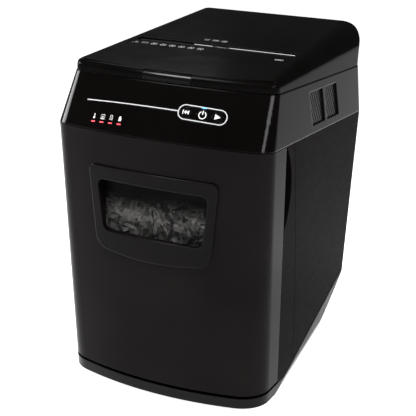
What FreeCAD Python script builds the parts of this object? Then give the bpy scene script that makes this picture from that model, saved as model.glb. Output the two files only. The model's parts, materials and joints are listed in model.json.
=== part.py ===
import FreeCAD, Part
import math
import os

# Auto-feed paper shredder with a pull-out bin.
# Frame: +X to the user's right seen from the front, +Y to the back, +Z up.
# The origin is on the floor, under the middle of the whole.  All sizes are in millimetres.

# ---- Driving sizes ---------------------------------------------------------------------------
width = 325.0                 # at the waist, the bottom edge of the control band
depth = 417.0                 # front middle at the waist to the rear wall
waist_height = 385.0          # bottom edge of the control band
band_height = 70.0            # the control band's height
lid_front_rise = 14.0         # the lid's front lip above the control band
lid_rear_rise = 67.0          # the lid's rear edge above the control band

# Outer skin: how much narrower, further back, more bowed and rounder it is at each level.
floor_narrowing = 6.0
floor_setback = 35.0
floor_bow = 29.0
floor_corner = 48.0
waist_bow = 19.5
waist_corner = 27.0
band_narrowing = 9.0
band_setback = 36.0
band_bow = 16.0
band_corner = 16.0
rear_corner = 26.0

# Walls and gaps.
wall = 3.0
thin_wall = 2.5
seat_gap = 0.3                # between pieces that sit on or in each other
seam_gap = 0.8                # visible seams of the bin and the lid
slide_gap = 0.35              # round buttons that travel

# Base and feet.
foot_height = 4.0
foot_radius = 11.0
base_height = 15.0
base_floor = 3.0
base_gap = 5.0                # dark gap between the base and the bin

# Slanted underside of each side.
undercut_front = -94.0        # where the side edge meets the floor, along Y
undercut_rear_height = 126.0
undercut_rear_half = 120.0    # half width of the footprint at the rear

# Bin.
seam_top = -129.5             # where the bin meets the side shell at the waist, along Y
seam_bottom = -80.0           # the same near the floor
notch_height = 312.0
notch_length = 125.0
notch_depth = 22.0
cup_depth = 9.0               # finger cup behind the notch, into the side
tub_wall = 2.2
tub_front_gap = 33.0          # bin skin to tub front
tub_bottom_half = 122.0
tub_top_half = 146.0
tub_drop = 42.0               # tub's rim below the waist
heap_drop = 37.0              # highest shreds below the tub's rim
heap_shell = 6.0
tub_bottom_rear = 150.0
tub_top_rear = 163.0
window_low = 243.0
window_high = 318.0
window_low_half = 76.0
window_high_half = 85.0
window_corner = 10.0
bezel_low = 214.0
bezel_high = 337.0
bezel_low_half = 88.0
bezel_high_half = 99.0
bezel_corner = 24.0
bezel_top_corner = 9.0
bezel_belly = 5.0             # how far the bezel's lower edge sags at the middle
bezel_proud = 3.0
recess_top_depth = 26.0       # lens behind the skin at the top of the window
recess_low_depth = 9.0

# Head: floor, cutter block and paper tray.
head_floor_drop = 33.0        # head floor's underside below the waist
head_floor_front = -150.0
cutter_middle = -22.0         # the paper slot and the cutters, along Y
cutter_rise = 17.0            # cutter axes above the waist
disc_overlap = 1.4            # each disc reaches past half the cutter spacing
disc_width = 3.7
disc_pitch = 8.0
disc_end_room = 7.5           # least room between the last disc and a side plate
disc_notches = 4
hex_flats = 16.0
journal_radius = 7.0
running_gap = 0.05
block_half = 119.5            # inner faces of the cutter block's side plates
plate_thickness = 3.0
bush_radius = 11.0
tray_side_room = 3.5          # side plate to the inside of the paper tray
tray_wall = 2.5
tray_front = -158.0
tray_rear = 133.0
tray_low_drop = 21.0          # tray's lowest floor below the control band's top
tray_high_drop = 13.0
throat_half_width = 10.0
deck_drop = 3.0               # deck's top below the top of the control band

# Manual slot in the lid.
slot_length = 230.0
slot_width = 5.5
slot_recess_length = 250.0
slot_recess_width = 17.0
slot_recess_depth = 3.0

# Gears: module, teeth and the planes they run in, along X.
gear_module = 1.5
cutter_teeth = 24
idler_teeth = 16
roller_teeth = 14
bull_teeth = 48
small_teeth = 16
fine_module = 1.0
large_teeth = 70
pinion_teeth = 12
mesh_gap = 0.12
gear_plate_room = 1.5         # side plate to the first gears
gear_side_room = 1.5          # between the first and the second plane's gears
gear_step_room = 1.0          # between the second and the third plane's gears
gear_width = 6.0
large_gear_width = 5.0
feed_rise = 24.5              # roller axes above the cutter axes
roller_radius = 11.0
roller_width = 25.0
roller_place = 45.0
roller_shaft_radius = 4.0

# Motor.
motor_radius = 29.0
motor_length = 92.0
motor_shaft_radius = 4.0

# Lid and its moving pieces.
lid_inset = 0.8
lid_front_shoulder = 9.0
lid_rear_shoulder = 40.0
lip_rounding = 8.0
rear_rounding = 9.0
rounding_steps = 6
hinge_back = 201.0
hinge_rise = 7.5              # hinge axis above the control band
hinge_place = 90.0
hinge_pin_radius = 2.5
knuckle_radius = 5.0
knuckle_length = 20.0
ear_radius = 3.8
lug_thickness = 4.0
release_half = 36.0
release_depth = 10.0
release_travel = 2.5
release_sink = 0.8            # button's top below the lid round it
hook_setback = 9.8            # hook's front face behind the band's top edge
hook_thickness = 2.2
hook_reach = 2.4              # nose under the deck's front edge
hook_half = 7.0
hook_drop = 4.0
flap_half = 105.0
flap_thickness = 2.5
flap_pin_radius = 2.0
flap_hinge_front = -147.0
flap_hinge_rear = 122.0
flap_hinge_rise = 9.0         # flap axes above the control band
flap_tip_drop = 4.5           # flap tips below the top of the control band
flap_tip_gap = 13.0           # flap tip to the middle of the slot, along Y

# Controls on the band.
control_rise = 39.5           # button row above the waist
stadium_left = 28.7
stadium_right = 98.0
stadium_half = 10.5
trim_width = 1.3
trim_line_left = -114.0
button_half = 6.5
power_place = 64.0
reverse_place = 40.5
forward_place = 84.5
power_radius = 8.0
button_proud = 0.7
button_deep = 7.0
indicator_rise = 13.0
indicator_first = -95.0
indicator_pitch = 14.0
indicator_count = 4

# Vents on both sides of the band.
vent_low_rise = 11.0
vent_high_rise = 58.0
vent_first = -36.0
vent_length = 53.0
vent_pitch = 61.0
vent_lean = 7.0
vent_slots = 9
vent_slot_width = 2.2

# Rear fittings.
gland_place = 92.0
gland_height = 72.0
rocker_place = 45.0
rocker_width = 22.0
rocker_height = 30.0
rear_screw_radius = 3.6
post_place = 128.0
post_size = 12.0
post_low = 150.0

# ---- Worked out from the driving sizes ------------------------------------------------------
V = FreeCAD.Vector
half_width = width / 2
front = -depth / 2
rear = depth / 2
band_top = waist_height + band_height
base_top = foot_height + base_height
bin_bottom = base_top + base_gap
bin_top = waist_height - 1.0
tub_top = waist_height - tub_drop
tub_low = bin_bottom + thin_wall + seat_gap
heap_top = tub_top - heap_drop
head_floor_height = waist_height - head_floor_drop
cutter_height = waist_height + cutter_rise
cutter_spacing = gear_module * cutter_teeth
disc_radius = cutter_spacing / 2 + disc_overlap
disc_count = int(2 * (block_half - disc_end_room) / disc_pitch)
tray_half = block_half - tray_side_room
tray_low = band_top - tray_low_drop
tray_high = band_top - tray_high_drop
first_plane = block_half + plate_thickness + gear_plate_room
second_plane = first_plane + gear_width + gear_side_room
third_plane = second_plane + gear_width + gear_step_room
hinge_height = band_top + hinge_rise
flap_hinge_height = band_top + flap_hinge_rise
flap_tip_height = band_top - flap_tip_drop
control_height = waist_height + control_rise
indicator_height = waist_height + indicator_rise
vent_low = waist_height + vent_low_rise
vent_high = waist_height + vent_high_rise
hook_front = front + band_setback + hook_setback
deck_top = band_top - deck_drop
deck_bottom = deck_top - wall
band_lean = math.degrees(math.atan2(band_setback, band_height))
front_axis = (cutter_middle - cutter_spacing / 2, cutter_height)
rear_axis = (cutter_middle + cutter_spacing / 2, cutter_height)
rear_joint = rear - rear_corner - 4
floor_level = (half_width - floor_narrowing, floor_setback, floor_bow, floor_corner)
waist_level = (half_width, 0.0, waist_bow, waist_corner)
shoulder_level = (half_width - band_narrowing, band_setback, band_bow, band_corner)
far = 600.0                   # larger than the whole object, for cutting tools

os.makedirs("parts", exist_ok=True)


# ---- General helpers ------------------------------------------------------------------------
def save(name, solids):
    """Write one sub-part as one STEP file; a group of separate solids becomes a compound."""
    solids = solids if isinstance(solids, list) else [solids]
    flat = []
    for shape in solids:
        flat.extend(shape.Solids)
    whole = flat[0] if len(flat) == 1 else Part.makeCompound(flat)
    whole.exportStep("parts/" + name + ".step")
    print(name, len(flat), whole.isValid(), round(whole.Volume))


def box(x0, x1, y0, y1, z0, z1):
    """A box between two corners."""
    return Part.makeBox(x1 - x0, y1 - y0, z1 - z0, V(x0, y0, z0))


def mirrored(shape):
    """The same piece on the other side."""
    return shape.mirror(V(0, 0, 0), V(1, 0, 0))


def both_sides(shape):
    """A piece and its mirror image."""
    return [shape, mirrored(shape)]


def rod(x0, x1, place, radius):
    """A round bar along X round the axis place = (y, z)."""
    return Part.makeCylinder(radius, x1 - x0, V(x0, place[0], place[1]), V(1, 0, 0))


def tube(x0, x1, place, outer, inner):
    """A round tube along X."""
    return rod(x0, x1, place, outer).cut(rod(x0, x1, place, inner))


def side_prism(points, x0, x1):
    """A prism along X from a closed outline of (y, z) points."""
    corners = [V(x0, y, z) for y, z in points]
    return Part.Face(Part.makePolygon(corners + corners[:1])).extrude(V(x1 - x0, 0, 0))


def front_prism(points, y0, y1):
    """A prism along Y from a closed outline of (x, z) points."""
    corners = [V(x, y0, z) for x, z in points]
    return Part.Face(Part.makePolygon(corners + corners[:1])).extrude(V(0, y1 - y0, 0))


def rounded(shape, axis, radius, keep=None):
    """Round the straight edges that run along an axis."""
    edges = []
    for edge in shape.Edges:
        if not isinstance(edge.Curve, Part.Line):
            continue
        ends = [vertex.Point for vertex in edge.Vertexes]
        along = (ends[1] - ends[0]).normalize()
        if abs(abs(along.dot(axis)) - 1) < 1e-6 and (keep is None or keep(ends[0])):
            edges.append(edge)
    return shape.makeFillet(radius, edges)


# ---- Outer skin -----------------------------------------------------------------------------
def level(height):
    """Half width, setback, bow and corner radius of the outer skin at a height."""
    if height >= waist_height:
        share = (height - waist_height) / band_height
        low, high = waist_level, shoulder_level
    else:
        share = height / waist_height
        low, high = floor_level, waist_level
    return [a + (b - a) * share for a, b in zip(low, high)]


def sag(x, height):
    """How far back the bowed front lies at x, from its place in the middle."""
    half, setback, bow, corner = level(height)
    radius = (half ** 2 + bow ** 2) / (2 * bow)
    return radius - math.sqrt(radius ** 2 - x ** 2)


def front_at(height):
    """Y of the skin's front middle at a height."""
    return front + level(height)[1]


def outline(height, inset=0.0):
    """Closed outline of the skin at a height: a bowed front, four round corners, a flat rear."""
    half, setback, bow, corner = level(height)
    bow_radius = (half ** 2 + bow ** 2) / (2 * bow)
    middle = front + setback + bow_radius
    corner_x = half - corner
    corner_y = middle - math.sqrt((bow_radius - corner) ** 2 - corner_x ** 2)
    turn = math.atan2(corner_x, middle - corner_y)
    small = max(corner - inset, 1.0)
    big = bow_radius - inset
    side = corner_x + small
    back_small = max(rear_corner - inset, 1.0)
    back = rear - rear_corner + back_small
    back_x = side - back_small
    back_y = back - back_small

    def at(x, y):
        return V(x, y, height)

    def on_corner(sign, angle):
        return at(sign * (corner_x + small * math.sin(angle)), corner_y - small * math.cos(angle))

    def on_back(sign, angle):
        return at(sign * (back_x + back_small * math.cos(angle)), back_y + back_small * math.sin(angle))

    half_turn = (turn + math.pi / 2) / 2
    front_left = at(-big * math.sin(turn), middle - big * math.cos(turn))
    front_right = at(big * math.sin(turn), middle - big * math.cos(turn))
    edges = [
        Part.Arc(front_left, at(0, middle - big), front_right).toShape(),
        Part.Arc(front_right, on_corner(1, half_turn), at(side, corner_y)).toShape(),
        Part.LineSegment(at(side, corner_y), at(side, back_y)).toShape(),
        Part.Arc(at(side, back_y), on_back(1, math.pi / 4), at(back_x, back)).toShape(),
        Part.LineSegment(at(back_x, back), at(-back_x, back)).toShape(),
        Part.Arc(at(-back_x, back), on_back(-1, math.pi / 4), at(-side, back_y)).toShape(),
        Part.LineSegment(at(-side, back_y), at(-side, corner_y)).toShape(),
        Part.Arc(at(-side, corner_y), on_corner(-1, half_turn), front_left).toShape(),
    ]
    return Part.Wire(edges)


def skin(low, high, inset=0.0):
    """The solid inside the skin between two heights."""
    return Part.makeLoft([outline(low, inset), outline(high, inset)], True, True)


def skin_shell(low, high, outer, inner):
    """The ring between two insets of the skin."""
    return skin(low, high, outer).cut(skin(low, high, inner))


def undercut_tool(offset):
    """Two large blocks that cut the slanted underside of the sides."""
    at_front = V(level(0)[0], undercut_front, 0)
    at_rear = V(level(undercut_rear_height)[0], rear, undercut_rear_height)
    at_floor = V(undercut_rear_half, rear, 0)
    normal = (at_floor - at_front).cross(at_rear - at_front).normalize()
    if normal.x < 0:
        normal = normal * -1
    block = Part.makeBox(far * 2, far * 2, far, V(-far, -far, 0))
    turn = FreeCAD.Rotation(V(0, 0, 1), normal)
    block.Placement = FreeCAD.Placement(at_front - normal * offset, turn)
    block = block.copy()
    return block.fuse(mirrored(block))


def seam_at(height):
    """Y of the seam between the bin and the side shells at a height."""
    return seam_bottom + (seam_top - seam_bottom) * (height - bin_bottom) / (bin_top - bin_bottom)


def behind_seam(shift):
    """Everything behind the bin's seam, moved back by shift."""
    low, high = 0.0, waist_height
    points = [(seam_at(low) + shift, low), (far, low), (far, high), (seam_at(high) + shift, high)]
    return side_prism(points, -far, far)


# ---- Base, feet and outer shells ------------------------------------------------------------
def make_base():
    """Shallow tray that the whole stands on, with four rubber feet."""
    slab = skin(foot_height, base_top).cut(undercut_tool(0))
    pocket_floor = foot_height + base_floor
    pocket = skin(pocket_floor, base_top, wall).cut(undercut_tool(wall))
    save("base_tray", slab.cut(pocket))
    feet = []
    for y, x in ((front + 75, 105.0), (rear - 45, 92.0)):
        foot = Part.makeCone(foot_radius, foot_radius + 1.5, foot_height, V(x, y, 0))
        feet.extend(both_sides(foot))
    save("rubber_feet", feet)
    rails = []
    rail = box(84, 94, seam_bottom + 4, tub_bottom_rear - 10, pocket_floor, tub_low - seat_gap)
    rails.extend(both_sides(rail))
    save("bin_runners", rails)


def make_shells():
    """Two side shells with finger notches and grooved panels, and the rear cover."""
    outer = skin(base_top, waist_height).cut(undercut_tool(0))
    inner = skin(base_top, waist_height, wall).cut(undercut_tool(wall))
    shell = outer.cut(inner)
    notch_radius = (notch_length ** 2 / 4 + notch_depth ** 2) / (2 * notch_depth)
    notch_middle = seam_at(notch_height) + notch_depth - notch_radius
    notch = rod(-far, far, (notch_middle, notch_height), notch_radius)
    sides = shell.common(behind_seam(0)).cut(notch)
    sides = sides.cut(box(-far, far, rear_joint, far, 0, far))
    right = sides.common(box(0, far, -far, far, 0, far))
    right = right.cut(panel_groove())
    ring = skin_shell(base_top, waist_height, wall / 2, cup_depth + 2)
    cup = ring.common(behind_seam(0)).common(rod(0, far, (notch_middle, notch_height), notch_radius + 2))
    hollow = skin_shell(base_top, waist_height, -1, cup_depth)
    hollow = hollow.common(rod(0, far, (notch_middle, notch_height), notch_radius))
    right = right.fuse(cup.cut(hollow))
    post = box(post_place - post_size / 2, post_place + post_size / 2, rear_joint - 8,
               rear - wall, post_low, head_floor_height - 2)
    web = box(post_place, half_width - wall, rear_joint - 8, rear_joint - 2,
              post_low, head_floor_height - 2)
    web = web.common(skin(post_low, head_floor_height - 2, wall / 2))
    right = right.fuse(post).fuse(web).removeSplitter()
    screws = []
    counterbores = []
    for height in (post_low + 20, head_floor_height - 22):
        for sign in (1, -1):
            spot = V(sign * post_place, rear, height)
            shank = Part.makeCylinder(1.6, 14, spot, V(0, -1, 0))
            head = Part.makeCylinder(rear_screw_radius, 1.6, spot - V(0, 0.2, 0), V(0, -1, 0))
            cross = box(spot.x - 2, spot.x + 2, rear - 1.0, rear, height - 0.4, height + 0.4)
            cross = cross.fuse(box(spot.x - 0.4, spot.x + 0.4, rear - 1.0, rear, height - 2, height + 2))
            screws.append(head.fuse(shank.cut(box(-far, far, rear - 0.3, far, 0, far))).cut(cross))
            counterbores.append(Part.makeCylinder(rear_screw_radius + 0.2, 1.8, spot, V(0, -1, 0)))
            counterbores.append(Part.makeCylinder(1.7, 16, spot, V(0, -1, 0)))
    holes = Part.makeCompound(counterbores)
    save("side_shell_right", right.cut(holes))
    save("side_shell_left", mirrored(right).cut(holes))
    cover = shell.common(box(-far, far, rear_joint, far, 0, far)).cut(holes)
    cover = cover.cut(Part.makeCylinder(8.0, 10, V(gland_place, rear - 6, gland_height), V(0, 1, 0)))
    half_w = rocker_width / 2
    half_h = rocker_height / 2
    cover = cover.cut(box(rocker_place - half_w, rocker_place + half_w, rear - 6, rear + 6,
                          gland_height - half_h, gland_height + half_h))
    save("rear_cover", cover)
    save("rear_screws", screws)


def panel_groove():
    """Shallow groove that outlines the inset panel on the right side shell."""
    slope = undercut_rear_height / (rear - undercut_front)
    lift = 7.0

    def edge_at(y, up):
        return (y - undercut_front) * slope + up

    def panel(grow):
        low_y = -22.0 - grow
        end = rear_joint + 1
        start = V(0, -100.5 - grow, waist_height + 1)
        middle = V(0, -55.5 - grow, 218)
        low = V(0, low_y - 4, 60)
        corner = V(0, low_y + 8, edge_at(low_y + 8, lift - grow))
        far_low = V(0, end, edge_at(end, lift - grow))
        far_high = V(0, end, waist_height + 1)
        edges = [
            Part.Arc(start, middle, low).toShape(),
            Part.Arc(low, V(0, low_y - 2.5, edge_at(low_y, lift + 5)), corner).toShape(),
            Part.LineSegment(corner, far_low).toShape(),
            Part.LineSegment(far_low, far_high).toShape(),
            Part.LineSegment(far_high, start).toShape(),
        ]
        return Part.Face(Part.Wire(edges)).extrude(V(far, 0, 0))

    ring = panel(1.3).cut(panel(0))
    return ring.cut(skin(base_top, waist_height, 1.0))


# ---- Control band ---------------------------------------------------------------------------
def band_frame(shape):
    """Move a shape drawn flat (X right, Y up the slope, Z outwards) onto the leaning band."""
    turn = FreeCAD.Rotation(V(1, 0, 0), 90 - band_lean)
    place = V(0, front_at(control_height), control_height)
    shape.Placement = FreeCAD.Placement(place, turn)
    return shape.copy()


def slope_up(height):
    """Distance up the band's slope from the control line to a height."""
    return (height - control_height) / math.cos(math.radians(band_lean))


def flat_stadium(x0, x1, middle, half):
    """A flat stadium or circle prism that passes through the band's wall."""
    reach = 40.0
    left = V(x0 + half, middle, -reach)
    right = V(x1 - half, middle, -reach)
    shape = Part.makeCylinder(half, reach * 2, left)
    if x1 - x0 > 2 * half + 0.01:
        shape = shape.fuse(Part.makeCylinder(half, reach * 2, right))
        bar = Part.makeBox(right.x - left.x, 2 * half, reach * 2, V(left.x, middle - half, -reach))
        shape = shape.fuse(bar).removeSplitter()
    return shape


def on_band(flat, outer, inner):
    """The part of the band's wall, between two insets, that lies inside a flat prism."""
    front_half = box(-far, far, -far, front + 110, 0, far)
    ring = skin_shell(waist_height, band_top, outer, inner).common(front_half)
    return ring.common(band_frame(flat))


def button_outlines():
    """Outline of each button, grown by a gap, as (name, maker)."""
    def reverse(grow):
        return flat_stadium(reverse_place - 8 - grow, reverse_place + 8 + grow, 0, button_half + grow)

    def power(grow):
        radius = power_radius + grow
        return flat_stadium(power_place - radius, power_place + radius, 0, radius)

    def forward(grow):
        return flat_stadium(forward_place - 8 - grow, forward_place + 8 + grow, 0, button_half + grow)

    return [("reverse_button", reverse), ("power_button", power), ("forward_button", forward)]


def vent_outline(first, grow):
    """A leaning vent patch as (y, z) points."""
    return [
        (first - grow, vent_high + grow),
        (first + vent_length + grow, vent_high + grow),
        (first + vent_length + vent_lean + grow, vent_low - grow),
        (first + vent_lean - grow, vent_low - grow),
    ]


def make_band():
    """Gloss control band with its trim, buttons, lights and side vents."""
    band = skin_shell(waist_height, band_top, 0, wall)
    ring = flat_stadium(stadium_left, stadium_right, 0, stadium_half)
    hole = flat_stadium(stadium_left + trim_width, stadium_right - trim_width, 0,
                        stadium_half - trim_width)
    line_end = stadium_left + trim_width / 2
    line = Part.makeBox(line_end - trim_line_left, trim_width, 80,
                        V(trim_line_left, -trim_width / 2, -40))
    trim = ring.cut(hole).fuse(line.cut(hole)).removeSplitter()
    blue = flat_stadium(power_place - 3.5, power_place + 3.5, slope_up(control_height + 8.2), 0.8)
    band = band.cut(on_band(trim, -1, 1.1))
    save("control_trim", on_band(trim, -0.25, 0.9).cut(band_frame(blue.copy())))
    for name, maker in button_outlines():
        band = band.cut(band_frame(maker(slide_gap)))
        cap = on_band(maker(0), -button_proud, button_deep)
        flange = on_band(maker(1.6), wall + seat_gap, wall + seat_gap + 1.5)
        save(name, cap.fuse(flange).removeSplitter())
    lights = []
    for place in range(indicator_count):
        x = indicator_first + place * indicator_pitch
        up = slope_up(indicator_height)
        lights.append(flat_stadium(x - 3.2, x + 3.2, up, 0.9))
    save("indicator_lights", [on_band(light, -0.2, wall) for light in lights])
    save("power_light", on_band(blue, -0.2, wall))
    for light in lights + [blue]:
        band = band.cut(band_frame(light))
    grilles = []
    front_half = box(0, far, -far, far, 0, far)
    for patch in range(2):
        first = vent_first + patch * vent_pitch
        opening = side_prism(vent_outline(first, 0), 100, far)
        band = band.cut(opening).cut(mirrored(opening))
        plate = skin_shell(waist_height, band_top, wall, wall + 2).common(front_half)
        plate = plate.common(side_prism(vent_outline(first, 3), 100, far))
        slots = []
        for place in range(vent_slots):
            y = first - 12 + place * (vent_length + 20) / vent_slots
            slot = [(y, vent_high), (y + vent_slot_width, vent_high),
                    (y + vent_slot_width + 26, vent_low), (y + 26, vent_low)]
            slots.append(side_prism(slot, 100, far))
        inside = side_prism(vent_outline(first, -1), 100, far)
        plate = plate.cut(Part.makeCompound(slots).common(inside))
        grilles.extend(both_sides(plate))
    save("vent_grilles", grilles)
    save("control_band", band)
    board_up = 36.0
    board = Part.makeBox(92, board_up, 1.6, V(18, -board_up / 2, -24))
    switches = [board]
    for name, x in (("reverse", reverse_place), ("power", power_place), ("forward", forward_place)):
        switches.append(Part.makeBox(6, 6, 6, V(x - 3, -3, -22.4)))
    posts = []
    for x in (22, 106):
        for up in (-board_up / 2 + 4, board_up / 2 - 4):
            posts.append(Part.makeCylinder(2.5, 30, V(x, up, -23)))
    whole = switches[0]
    for switch in switches[1:]:
        whole = whole.fuse(switch)
    posts = band_frame(Part.makeCompound(posts)).common(skin(waist_height, band_top, wall + 0.1))
    save("control_board", band_frame(whole.removeSplitter()).fuse(posts))


# ---- Head floor, paper tray and cutter block ------------------------------------------------
def make_head_floor():
    """Floor of the head with the chute for the shreds, and the soffit above the bin's front."""
    top = head_floor_height + wall
    plate = box(-half_width + 8, half_width - 8, head_floor_front, rear - wall - seat_gap,
                head_floor_height, top)
    plate = plate.common(skin(head_floor_height, top, wall + seat_gap))
    beside_cup = box(half_width - wall - cup_depth - 3.5, far, -far, seam_at(notch_height) + notch_depth + 5, 0, top)
    plate = plate.cut(beside_cup).cut(mirrored(beside_cup))
    upstand = box(-half_width + 16, half_width - 16, head_floor_front, head_floor_front + wall,
                  head_floor_height, waist_height + wall)
    soffit = skin(waist_height, waist_height + wall, wall + seat_gap)
    soffit = soffit.cut(box(-far, far, head_floor_front + wall, far, 0, far))
    chute_half = disc_radius + cutter_spacing / 2 + 4
    chute = box(-block_half, block_half, cutter_middle - chute_half, cutter_middle + chute_half,
                head_floor_height - 4, top)
    hole = box(-block_half + 2, block_half - 2, cutter_middle - chute_half + 2,
               cutter_middle + chute_half - 2, 0, far)
    floor = plate.fuse(upstand).fuse(soffit).fuse(chute).cut(hole).removeSplitter()
    save("head_floor", floor)
    switch = box(-66, -54, head_floor_front - 9, head_floor_front, 366, 380)
    button = box(-62, -58, head_floor_front - 12, head_floor_front - 9, 376, 379)
    save("bin_switch", switch.fuse(button).removeSplitter())


def tray_floor_at(y):
    """Height of the paper tray's sloped floor at y."""
    away = abs(y - cutter_middle) - throat_half_width
    reach = cutter_middle - throat_half_width - tray_front
    return tray_low + (tray_high - tray_low) * away / reach


def make_paper_tray():
    """Deck and sloped paper tray in one moulding, with windows for the feed rollers."""
    deck = skin(deck_bottom, deck_top, wall + seat_gap)
    deck = deck.cut(box(-tray_half, tray_half, tray_front, tray_rear, 0, far))
    outer = tray_half + tray_wall
    floors = []
    for y0, y1 in ((tray_front, cutter_middle - throat_half_width),
                   (cutter_middle + throat_half_width, tray_rear)):
        points = [(y0, tray_floor_at(y0)), (y1, tray_floor_at(y1)),
                  (y1, tray_floor_at(y1) - thin_wall), (y0, tray_floor_at(y0) - thin_wall)]
        floors.append(side_prism(points, -tray_half, tray_half))
    low = tray_low - thin_wall
    rim = box(-outer, outer, tray_front - tray_wall, tray_rear + tray_wall, low, deck_top)
    rim = rim.cut(box(-tray_half, tray_half, tray_front, tray_rear, 0, far))
    ends = box(-outer, outer, cutter_middle - throat_half_width, cutter_middle + throat_half_width,
               low, tray_low)
    ends = ends.cut(box(-tray_half, tray_half, -far, far, 0, far))
    tray = deck.fuse(floors[0]).fuse(floors[1]).fuse(rim).fuse(ends)
    for axis in feed_axes():
        for sign in (1, -1):
            middle = sign * roller_place
            side = roller_width / 2 + 2
            tray = tray.cut(box(middle - side, middle + side, axis[0] - roller_radius - 2,
                                axis[0] + roller_radius + 2, low - 5, tray_high))
    latch_hole = box(-hook_half - 2, hook_half + 2, hook_front - 0.8,
                     hook_front + hook_thickness + release_travel + seat_gap,
                     deck_bottom - hook_drop - 1, deck_top + 1)
    save("paper_tray", tray.cut(latch_hole).removeSplitter())


def mesh_radius(teeth, module):
    """Pitch radius of a gear."""
    return teeth * module / 2


def centre_distance(first, second, module):
    """Distance between the axes of two gears in mesh."""
    return mesh_radius(first, module) + mesh_radius(second, module) + mesh_gap


def feed_axes():
    """Axes (y, z) of the front and the rear feed roller."""
    apart = centre_distance(cutter_teeth, roller_teeth, gear_module) + 4.5
    sideways = math.sqrt(apart ** 2 - feed_rise ** 2)
    height = cutter_height + feed_rise
    return [(front_axis[0] - sideways, height), (rear_axis[0] + sideways, height)]


def idler_axes():
    """Axes of the two idlers between a cutter gear and a roller gear."""
    axes = []
    to_cutter = centre_distance(cutter_teeth, idler_teeth, gear_module)
    to_roller = centre_distance(idler_teeth, roller_teeth, gear_module)
    for cutter, feed, sign in ((front_axis, feed_axes()[0], -1), (rear_axis, feed_axes()[1], 1)):
        dy, dz = feed[0] - cutter[0], feed[1] - cutter[1]
        apart = math.hypot(dy, dz)
        along = (to_cutter ** 2 - to_roller ** 2 + apart ** 2) / (2 * apart)
        away = math.sqrt(to_cutter ** 2 - along ** 2)
        uy, uz = dy / apart, dz / apart
        axes.append((cutter[0] + uy * along + sign * uz * away, cutter[1] + uz * along - abs(uy) * away))
    return axes


def turned(place, distance, degrees):
    """A point at a distance and an angle from an axis, in the YZ plane."""
    angle = math.radians(degrees)
    return (place[0] + distance * math.cos(angle), place[1] + distance * math.sin(angle))


compound_axis = turned(rear_axis, centre_distance(bull_teeth, small_teeth, gear_module), -6)
motor_axis = turned(compound_axis, centre_distance(large_teeth, pinion_teeth, fine_module), -8)


def gear_face(teeth, module, place, x, phase):
    """Face of a spur gear in the YZ plane; phase is the angle of one tooth's middle."""
    pitch = mesh_radius(teeth, module)
    base = pitch * math.cos(math.radians(20))
    tip = pitch + 0.85 * module
    root = pitch - 1.2 * module
    play = 0.06 * module

    def involute(radius):
        if radius <= base:
            return 0.0
        opening = math.acos(base / radius)
        return math.tan(opening) - opening

    half_tooth = (math.pi * module / 4 - play) / pitch + involute(pitch)
    start = max(base, root + 0.1 * module)
    radii = [start + (tip - start) * step / 3 for step in range(4)]
    foot_angle = half_tooth - involute(start)
    root_angle = foot_angle + (math.pi / teeth - foot_angle) / 4
    points = []
    for tooth in range(teeth):
        middle = phase + tooth * 2 * math.pi / teeth
        flank = [(radius, half_tooth - involute(radius)) for radius in radii]
        side = [(root, root_angle)] + flank
        for radius, angle in side:
            points.append((radius, middle - angle))
        for radius, angle in reversed(side):
            points.append((radius, middle + angle))
    corners = [V(x, place[0] + r * math.cos(a), place[1] + r * math.sin(a)) for r, a in points]
    return Part.Face(Part.makePolygon(corners + corners[:1]))


def gear(teeth, module, place, x, thickness, phase, bore):
    """A spur gear with a round bore."""
    body = gear_face(teeth, module, place, x, phase).extrude(V(thickness, 0, 0))
    return body.cut(rod(x - 1, x + thickness + 1, place, bore))


def meshed_phase(teeth, phase, place, other_teeth, other_place):
    """Phase of a second gear so that it meshes with the first."""
    toward = math.atan2(other_place[1] - place[1], other_place[0] - place[0])
    first_share = (toward - phase) * teeth / (2 * math.pi)
    second_share = 0.5 - first_share
    return toward + math.pi - second_share * 2 * math.pi / other_teeth


def hexagon(x0, x1, place, flats):
    """A hexagonal bar along X."""
    radius = flats / math.sqrt(3)
    points = []
    for side in range(6):
        angle = math.pi / 3 * side
        points.append((place[0] + radius * math.cos(angle), place[1] + radius * math.sin(angle)))
    return side_prism(points, x0, x1)


def cutter_disc(x, place, phase):
    """One cutting disc with notched teeth and a hexagonal bore."""
    disc = rod(x, x + disc_width, place, disc_radius)
    for notch in range(disc_notches):
        angle = phase + notch * 2 * math.pi / disc_notches
        tip = (place[0] + 15.5 * math.cos(angle), place[1] + 15.5 * math.sin(angle))
        points = [tip]
        for spread in (0.0, 0.28):
            points.append((place[0] + 21 * math.cos(angle + spread), place[1] + 21 * math.sin(angle + spread)))
        disc = disc.cut(side_prism(points, x - 1, x + disc_width + 1))
    return disc.cut(hexagon(x - 1, x + disc_width + 1, place, hex_flats + 2 * running_gap))


def cutter_shaft(place, right_end):
    """Hexagonal shaft with round journals and a flat on the drive end."""
    body = hexagon(-block_half + 1, block_half - 1, place, hex_flats)
    ends = rod(-block_half - plate_thickness - 2, right_end, place, journal_radius)
    return body.fuse(ends).removeSplitter()


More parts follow.
